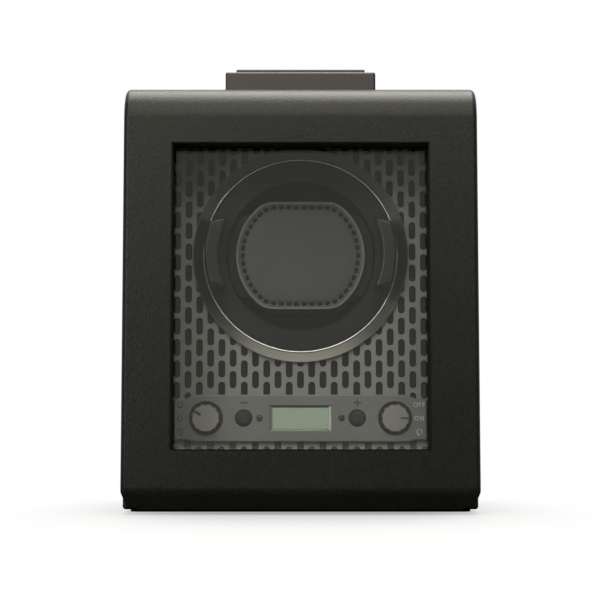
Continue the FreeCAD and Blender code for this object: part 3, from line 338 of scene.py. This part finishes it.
# Shading of the large rounded forms
def soft_shading():
    """Nodes that join the mesh's faces and shade them smooth."""
    group = bpy.data.node_groups.new("soft_shading", "GeometryNodeTree")
    for way in ("INPUT", "OUTPUT"):
        group.interface.new_socket("Geometry", in_out=way, socket_type="NodeSocketGeometry")
    source = group.nodes.new("NodeGroupInput")
    merge = group.nodes.new("GeometryNodeMergeByDistance")
    smooth = group.nodes.new("GeometryNodeSetShadeSmooth")
    target = group.nodes.new("NodeGroupOutput")
    merge.inputs["Distance"].default_value = WELD_DISTANCE
    group.links.new(source.outputs[0], merge.inputs["Geometry"])
    group.links.new(merge.outputs[0], smooth.inputs["Geometry"])
    group.links.new(smooth.outputs[0], target.inputs[0])
    return group


SOFT = soft_shading()
for name in ("door_panel", "case_shell", "latch_housing", "latch_plate", "base_plinth", "control_panel"):
    NODES[name].modifiers.new("join", "NODES").node_group = SOFT
    NODES[name].modifiers.new("crisp", "EDGE_SPLIT").split_angle = math.radians(30)
    NODES[name].modifiers.new("even", "WEIGHTED_NORMAL")


# Piece helpers
def piece(name, mesh, material, body, smooth=True):
    """A new visible piece that rides on a body."""
    made = bpy.data.objects.new(name, mesh)
    scene.collection.objects.link(made)
    made.data.materials.append(material)
    if smooth:
        for face in mesh.polygons:
            face.use_smooth = True
    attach(made, body)
    return made


def skin_piece(name, rings, material, body, closed=True, smooth=True):
    """A piece with a skin through rings of points, each ring the same count, closed at both ends or open."""
    count = len(rings[0])
    points = [point for ring in rings for point in ring]
    faces = []
    for row in range(len(rings) - 1):
        for step in range(count):
            following = (step + 1) % count
            here = row * count
            there = here + count
            faces.append((here + step, here + following, there + following, there + step))
    if closed:
        for row in (0, len(rings) - 1):
            points.append(sum((Vector(point) for point in rings[row]), Vector()) / count)
            for step in range(count):
                faces.append((row * count + step, row * count + (step + 1) % count, len(points) - 1))
    mesh = bpy.data.meshes.new(name)
    mesh.from_pydata([tuple(point) for point in points], [], faces)
    shell = bmesh.new()
    shell.from_mesh(mesh)
    bmesh.ops.recalc_face_normals(shell, faces=shell.faces)
    shell.to_mesh(mesh)
    shell.free()
    return piece(name, mesh, material, body, smooth)


def circle(count):
    """Cosine and sine of evenly spaced turns."""
    turns = [2 * math.pi * step / count for step in range(count)]
    return [(math.cos(turn), math.sin(turn)) for turn in turns]


def flat_round(half_width, half_height, y, count=168, hardness=30.0):
    """A round with flattened top and bottom and softened corners, at one place along Y."""
    ring = []
    for across, up in circle(count):
        reach = half_height / max(abs(up), 1e-6)
        radius = (half_width ** -hardness + reach ** -hardness) ** (-1 / hardness)
        ring.append(Vector((radius * across, y, AXIS_Z + radius * up)))
    return ring


# Cuff: the pads' profile is a share of the outline and a rise from the pad's back
STITCH_SCALE = 0.898
PAD_PROFILE = [
    (0.975, 0.0), (0.994, 0.0004), (1.000, 0.0016), (1.000, 0.0032), (0.996, 0.0039), (0.985, 0.00435),
    (0.968, 0.00452), (0.945, 0.00450), (0.925, 0.00425), (STITCH_SCALE, 0.00405), (0.875, 0.00425),
    (0.855, 0.00455), (0.83, 0.00470), (0.77, 0.00490), (0.66, 0.00508), (0.50, 0.00528), (0.30, 0.00543),
    (0.12, 0.00549),
]


def pad_rings(back, toward):
    """Rings of a stitched pad from its back edge to near the middle of its outer face."""
    return [flat_round(PAD_HALF_WIDTH * scale, PAD_HALF_HEIGHT * scale, back + toward * rise)
            for scale, rise in PAD_PROFILE]


cuff_front = skin_piece("cuff_front_cushion", pad_rings(PAD_BACK, -1), CUFF_LEATHER, "cuff")
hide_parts("cuff_front_pad")
cuff_back = skin_piece("cuff_rear_cushion", pad_rings(CORE_BACK, 1), CUFF_LEATHER, "cuff_rear")
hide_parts("cuff_rear_pad")

# The core's profile is a run from its front and a share of the outline
CORE_PROFILE = [
    (0.0, 0.955), (0.0006, 0.985), (0.002, 0.998), (0.006, 1.0), (0.0105, 0.985), (0.015, 0.978),
    (0.0195, 0.985), (0.024, 1.0), (0.028, 0.998), (0.0294, 0.985), (0.030, 0.955),
]
core_rings = [flat_round(CORE_HALF_WIDTH * scale, CORE_HALF_HEIGHT * scale, PAD_BACK + run)
              for run, scale in CORE_PROFILE]
cuff_body = skin_piece("cuff_core_cover", core_rings, CORE_CLOTH, "cuff")
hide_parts("cuff_core")
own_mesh(cuff_body)


def even_spots(path, pitch):
    """Places about a pitch apart along a closed path, each with the path's heading there."""
    steps = [(path[(index + 1) % len(path)] - point).length for index, point in enumerate(path)]
    total = sum(steps)
    wanted_count = round(total / pitch)
    spots = []
    walked = 0.0
    wanted = 0.0
    for index, step in enumerate(steps):
        if walked >= wanted and len(spots) < wanted_count:
            ahead = path[(index + 1) % len(path)] - path[index]
            spots.append((path[index], ahead.normalized()))
            wanted += total / wanted_count
        walked += step
    return spots


# Along a stitch, as a share of its length, and its girth there
STITCH_PROFILE = [(-0.5, 0.35), (-0.38, 0.85), (0.0, 1.0), (0.38, 0.85), (0.5, 0.35)]


def stitch_row(name, body, level, outward, pitch=0.0039, length=0.0028, width=0.0021, sides=8):
    """A row of thread dashes lying in the pad's groove; their near black colour is dark thread together with
    painted shade of the stitch holes.
    """
    path = flat_round(PAD_HALF_WIDTH * STITCH_SCALE, PAD_HALF_HEIGHT * STITCH_SCALE, level, count=1440)
    thickness = width * 0.6
    rows = bmesh.new()
    lift = Vector((0, outward, 0))
    for spot, ahead in even_spots(path, pitch):
        side = ahead.cross(lift).normalized()
        lines = []
        for along, girth in STITCH_PROFILE:
            centre = spot + ahead * (along * length)
            ring = []
            for across, up in circle(sides):
                offset = side * (across * width / 2) + lift * (up * thickness / 2)
                ring.append(rows.verts.new(centre + offset * girth))
            lines.append(ring)
        for first, second in zip(lines, lines[1:]):
            for turn in range(sides):
                following = (turn + 1) % sides
                rows.faces.new((first[turn], first[following], second[following], second[turn]))
        rows.faces.new(lines[0][::-1])
        rows.faces.new(lines[-1])
    bmesh.ops.recalc_face_normals(rows, faces=rows.faces)
    mesh = bpy.data.meshes.new(name)
    rows.to_mesh(mesh)
    rows.free()
    return piece(name, mesh, THREAD_AND_HOLE_SHADE, body)


stitch_row("cuff_front_stitches", "cuff", PAD_BACK - STITCH_RISE, -1.0)
stitch_row("cuff_rear_stitches", "cuff_rear", CORE_BACK + STITCH_RISE, 1.0)


def piping(name, level, body, scale=0.984, thickness=0.00055, sides=10):
    """A thin welt that runs around a pad just inside its edge, in leather about twice as light as the pad's:
    a real welt carrying a painted highlight along the edge.
    """
    path = flat_round(PAD_HALF_WIDTH * scale, PAD_HALF_HEIGHT * scale, level)
    lines = []
    for across, along in circle(sides):
        grow = 1.0 + thickness * across / PAD_HALF_HEIGHT
        lift = Vector((0, thickness * along, 0))
        lines.append([Vector((point.x * grow, point.y, AXIS_Z + (point.z - AXIS_Z) * grow)) + lift
                      for point in path])
    lines.append(lines[0])
    return skin_piece(name, lines, WELT_HIGHLIGHT_LEATHER, body, closed=False)


piping("cuff_front_welt", PAD_BACK - WELT_RISE, "cuff")
piping("cuff_rear_welt", CORE_BACK + WELT_RISE, "cuff_rear")


# Latch spring
def coil(name, node, turns, wire, body, sides=8, around=24):
    """A coil of round wire that fills the room of a plain sleeve, and the middle of its upper end."""
    low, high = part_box(node)
    middle = (low + high) / 2
    radius = (high.x - low.x) / 2 - wire
    climb = high.z - low.z - 2 * wire
    rings = []
    for step in range(turns * around + 1):
        angle = 2 * math.pi * step / around
        out = Vector((math.cos(angle), math.sin(angle), 0))
        height = low.z + wire + climb * step / (turns * around)
        centre = Vector((middle.x, middle.y, height)) + out * radius
        rings.append([centre + out * (wire * across) + Vector((0, 0, wire * up))
                      for across, up in circle(sides)])
    made = skin_piece(name, rings, STEEL, body)
    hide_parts(node)
    return made, Vector((middle.x, middle.y, high.z))


spring, spring_top = coil("latch_spring_coil", "latch_spring", SPRING_TURNS, SPRING_WIRE, "case")
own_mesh(spring)


# Bezel lip
def hoop(name, radius, y, thickness, material, body, count=240, sides=14):
    """A round bead that runs about the drum axis."""
    rings = []
    for across, along in circle(sides):
        reach = radius + thickness * across
        level = y + thickness * along
        rings.append([Vector((reach * right, level, AXIS_Z + reach * up)) for right, up in circle(count)])
    rings.append(rings[0])
    return skin_piece(name, rings, material, body, closed=False)


hoop("bezel_lip_bead", LIP_RADIUS, LIP_Y, LIP_THICKNESS, LIP_METAL, "case")

# Display trim: half width, half height and depth below the strip's face, from its outer edge inward
DISPLAY_FRAME = [(0.01555, 0.00635, 0.00005), (0.01435, 0.0059, 0.00037), (0.01425, 0.00535, 0.00079)]


def display_trim():
    """A sloped frame between the strip's face and the display down in its pocket."""
    corners = ((-1, -1), (1, -1), (1, 1), (-1, 1))
    rows = [[Vector((half_width * x, STRIP_FRONT + depth, STRIP_Z + half_height * z)) for x, z in corners]
            for half_width, half_height, depth in DISPLAY_FRAME]
    return skin_piece("display_trim", rows[::-1], TRIM_METAL, "case", closed=False, smooth=False)


display_trim()

# Printed marks: they are sunk a little into the face that carries them
PRINT_SINK = 0.00003
PRINT_THICKNESS = 0.00012
POINTER_THICKNESS = 0.0001
SIGN_Z = STRIP_Z + 0.0079
SIGN_LENGTH = 0.0040
SIGN_STROKE = 0.0009
SIGN_ARM = 0.0016
SIGN_ARM_RISE = 0.00125
MARK_X = 0.0602
MARK_RISE = 0.0069
MARK_HEIGHT = 0.0024
MARK_STROKE = 0.00045


def printed(name, outlines, material, body, face=STRIP_FRONT, thickness=PRINT_THICKNESS):
    """Thin printed shapes on a face; each outline is a list of X and Z places."""
    back_y = face + PRINT_SINK
    shapes = bmesh.new()
    for outline in outlines:
        back = [shapes.verts.new((x, back_y, z)) for x, z in outline]
        front = [shapes.verts.new((x, back_y - thickness, z)) for x, z in outline]
        shapes.faces.new(back)
        shapes.faces.new(front[::-1])
        count = len(outline)
        for index in range(count):
            following = (index + 1) % count
            shapes.faces.new((back[index], back[following], front[following], front[index]))
    bmesh.ops.recalc_face_normals(shapes, faces=shapes.faces)
    mesh = bpy.data.meshes.new(name)
    shapes.to_mesh(mesh)
    shapes.free()
    return piece(name, mesh, material, body, smooth=False)


def bar(x, z, width, height):
    """A straight stroke about its middle."""
    return [(x - width / 2, z - height / 2), (x + width / 2, z - height / 2),
            (x + width / 2, z + height / 2), (x - width / 2, z + height / 2)]


def arc_band(x, z, radius, width, first, last, steps=14):
    """A curved stroke between two angles."""
    turns = [math.radians(first + (last - first) * step / steps) for step in range(steps + 1)]
    sides = []
    for reach in (radius + width / 2, radius - width / 2):
        sides.append([(x + reach * math.cos(turn), z + reach * math.sin(turn)) for turn in turns])
    outer, inner = sides
    return outer + inner[::-1]


def capsule(x, z, start, end, width, degrees, steps=8):
    """A stroke with round ends that lies along a ray from a centre."""
    half = width / 2
    outline = []
    for along, first in ((end - half, -90), (start + half, 90)):
        for step in range(steps + 1):
            turn = math.radians(first + 180 * step / steps)
            outline.append((along + half * math.cos(turn), half * math.sin(turn)))
    heading = math.radians(degrees)
    return [(x + along * math.cos(heading) - across * math.sin(heading),
             z + along * math.sin(heading) + across * math.cos(heading)) for along, across in outline]


def arrow_head(x, z, radius, degrees, sense, size):
    """A small head at one end of a curved stroke."""
    turn = math.radians(degrees)
    out_x = math.cos(turn)
    out_z = math.sin(turn)
    corners = ((radius - size * 0.6, 0.0), (radius + size * 0.6, 0.0), (radius, size))
    return [(x + out_x * along - out_z * sense * push, z + out_z * along + out_x * sense * push)
            for along, push in corners]


def turn_icon(x, z, senses, radius=0.0013, width=0.0005, head=0.0014, first=-50, last=230):
    """An open circle with a head at one end or at both."""
    strokes = [arc_band(x, z, radius, width, first, last)]
    if 1 in senses:
        strokes.append(arrow_head(x, z, radius, last, 1, head))
    if -1 in senses:
        strokes.append(arrow_head(x, z, radius, first, -1, head))
    return strokes


def letter_o(x, z, height=MARK_HEIGHT, stroke=MARK_STROKE):
    half = height / 2 - stroke / 2
    return [arc_band(x, z, half, stroke, 0, 180), arc_band(x, z, half, stroke, 180, 360)]


def letter_f(x, z, height=MARK_HEIGHT, stroke=MARK_STROKE):
    width = height * 0.55
    left = x - width / 2
    arm = width - stroke
    return [bar(left + stroke / 2, z, stroke, height),
            bar(left + stroke + arm / 2, z + height / 2 - stroke / 2, arm, stroke),
            bar(left + stroke + arm * 0.4, z + stroke * 0.2, arm * 0.8, stroke)]


def letter_n(x, z, height=MARK_HEIGHT, stroke=MARK_STROKE):
    half = height * 0.36
    left = x - half
    right = x + half
    top = z + height / 2
    bottom = z - height / 2
    slant = [(left + stroke, top), (left + stroke, top - stroke * 1.5),
             (right - stroke, bottom), (right - stroke, bottom + stroke * 1.5)]
    return [bar(left + stroke / 2, z, stroke, height), slant, bar(right - stroke / 2, z, stroke, height)]


printed("sign_minus", [bar(-BUTTON_X, SIGN_Z, SIGN_LENGTH, SIGN_STROKE)], FAINT_PRINT, "case")
plus = [bar(BUTTON_X, SIGN_Z, SIGN_LENGTH, SIGN_STROKE)]
for rise in (SIGN_ARM_RISE, -SIGN_ARM_RISE):
    plus.append(bar(BUTTON_X, SIGN_Z + rise, SIGN_STROKE, SIGN_ARM))
printed("sign_plus", plus, FAINT_PRINT, "case")

way_marks = []
for rise, senses in ((MARK_RISE, (1, -1)), (0.0, (1,)), (-MARK_RISE, (-1,))):
    way_marks += turn_icon(-MARK_X - 0.0008, STRIP_Z + rise, senses)
printed("way_marks", way_marks, FAINT_PRINT, "case")

top_z = STRIP_Z + MARK_RISE
mode_marks = letter_o(MARK_X - 0.0019, top_z)
mode_marks += letter_f(MARK_X + 0.0004, top_z)
mode_marks += letter_f(MARK_X + 0.0022, top_z)
mode_marks += letter_o(MARK_X - 0.0014, STRIP_Z)
mode_marks += letter_n(MARK_X + 0.0013, STRIP_Z)
mode_marks += turn_icon(MARK_X, STRIP_Z - MARK_RISE, (1,))
printed("mode_marks", mode_marks, MARK_PRINT, "case")

left_line = capsule(-KNOB_X, STRIP_Z, start=0.0028, end=0.0064, width=0.0014, degrees=148)
right_line = capsule(KNOB_X, STRIP_Z, start=0.0027, end=0.0063, width=0.0008, degrees=0)
printed("knob_left_pointer", [left_line], DARK_PRINT, "left_knob", KNOB_FRONT, POINTER_THICKNESS)
printed("knob_right_pointer", [right_line], DARK_PRINT, "right_knob", KNOB_FRONT, POINTER_THICKNESS)


# Studio
def smooth_step(tree, source, start, end, low=0.0, high=1.0):
    """A value that runs smoothly from low to high while its source runs from start to end."""
    step = tree.nodes.new("ShaderNodeMapRange")
    step.interpolation_type = "SMOOTHSTEP"
    for socket, value in (("From Min", start), ("From Max", end), ("To Min", low), ("To Max", high)):
        step.inputs[socket].default_value = value
    tree.links.new(source, step.inputs["Value"])
    return step.outputs["Result"]


def combined(tree, operation, first, second):
    """Two values put together by a math node."""
    math_node = tree.nodes.new("ShaderNodeMath")
    math_node.operation = operation
    tree.links.new(first, math_node.inputs[0])
    tree.links.new(second, math_node.inputs[1])
    return math_node.outputs[0]


def floor_material():
    """A pale floor: it takes the object's shadow near by and runs out to plain white further off."""
    pale = Shader("pale_floor", Roughness=0.7, Specular_IOR_Level=0.1)
    mottle = pale.ramp(pale.noise(3.0, detail=2.0), (0.52, 0.52, 0.525), (0.55, 0.55, 0.55))
    rays = pale.node("ShaderNodeLightPath").outputs
    tone = pale.node("ShaderNodeMix", data_type="RGBA")
    tone.inputs[FIRST_COLOUR].default_value = (0.05, 0.05, 0.05, 1.0)
    pale.link(rays["Is Camera Ray"], tone.inputs[MIX_SHARE])
    pale.link(mottle, tone.inputs[SECOND_COLOUR])
    pale.link(tone.outputs[MIXED_COLOUR], pale.bsdf.inputs["Base Color"])
    spread = pale.node("ShaderNodeVectorMath", operation="MULTIPLY_ADD")
    spread.inputs[1].default_value = (2.0, 1.0, 1.0)
    spread.inputs[2].default_value = (0.0, 0.05, 0.0)
    pale.link(pale.place, spread.inputs[0])
    distance = pale.node("ShaderNodeVectorMath", operation="LENGTH")
    pale.link(spread.outputs[0], distance.inputs[0])
    away = distance.outputs["Value"]
    seen_fade = smooth_step(pale.tree, away, start=0.08, end=0.33, low=0.4)
    mirrored_fade = smooth_step(pale.tree, away, start=0.9, end=1.8)
    mirrored = combined(pale.tree, "MAXIMUM", rays["Is Glossy Ray"], rays["Is Transmission Ray"])
    seen_share = combined(pale.tree, "MULTIPLY", seen_fade, rays["Is Camera Ray"])
    mirrored_share = combined(pale.tree, "MULTIPLY", mirrored_fade, mirrored)
    shown = combined(pale.tree, "MAXIMUM", seen_share, mirrored_share)
    white = pale.node("ShaderNodeEmission", Strength=1.0)
    pale.mix_surface(shown, pale.bsdf.outputs[0], white.outputs[0])
    return pale.material


FLOOR_SIZE = 12.0
FLOOR_Z = -0.0002
bpy.ops.mesh.primitive_plane_add(size=FLOOR_SIZE, location=(0, 0, FLOOR_Z))
floor = bpy.context.object
floor.name = "floor"
floor.data.materials.append(floor_material())


def studio_world():
    """White to the camera; to other rays a room bright behind the object, with a soft card in front."""
    world = bpy.data.worlds.new("studio")
    world.use_nodes = True
    tree = world.node_tree
    sky = tree.nodes["Background"]
    sky.inputs["Color"].default_value = (1.0, 1.0, 1.0, 1.0)
    heading = tree.nodes.new("ShaderNodeTexCoord")
    split = tree.nodes.new("ShaderNodeSeparateXYZ")
    tree.links.new(heading.outputs["Generated"], split.inputs[0])
    room = smooth_step(tree, split.outputs["Y"], start=-0.2, end=0.6, low=0.05)
    card = smooth_step(tree, split.outputs["Y"], start=-0.80, end=-0.95, high=0.33)
    both = combined(tree, "ADD", room, card)
    rays = tree.nodes.new("ShaderNodeLightPath").outputs
    tree.links.new(combined(tree, "MAXIMUM", rays["Is Camera Ray"], both), sky.inputs["Strength"])
    return world


scene.world = studio_world()


def softbox(name, place, target, width, height, power, tint=(1.0, 1.0, 1.0)):
    """A rectangular lamp that faces a target; its power is in watts."""
    lamp = bpy.data.lights.new(name, "AREA")
    lamp.shape = "RECTANGLE"
    lamp.size = width
    lamp.size_y = height
    lamp.energy = power
    lamp.color = tint
    holder = bpy.data.objects.new(name, lamp)
    scene.collection.objects.link(holder)
    holder.location = place
    holder.rotation_euler = (Vector(target) - Vector(place)).to_track_quat("-Z", "Y").to_euler()
    return holder


softbox("key", (0.0, -0.92, 0.92), (0.0, -0.05, 0.12), width=0.95, height=1.0, power=10.2)
softbox("side", (-0.52, -0.95, 0.34), (0.0, -0.05, 0.10), width=0.22, height=0.5, power=2.5)
softbox("top", (0.0, 0.055, 0.85), (0.0, 0.055, 0.0), width=0.6, height=0.62, power=9.4,
        tint=(1.0, 0.985, 0.92))

# Camera
CAMERA_PLACE = (-0.0005, -0.832, 0.0361)
CAMERA_PITCH = 95.12
camera_data = bpy.data.cameras.new("camera")
camera_data.sensor_width = 36.0
camera_data.lens = 92.75
camera = bpy.data.objects.new("camera", camera_data)
scene.collection.objects.link(camera)
camera.location = CAMERA_PLACE
camera.rotation_euler = (math.radians(CAMERA_PITCH), 0.0, 0.0)
scene.camera = camera
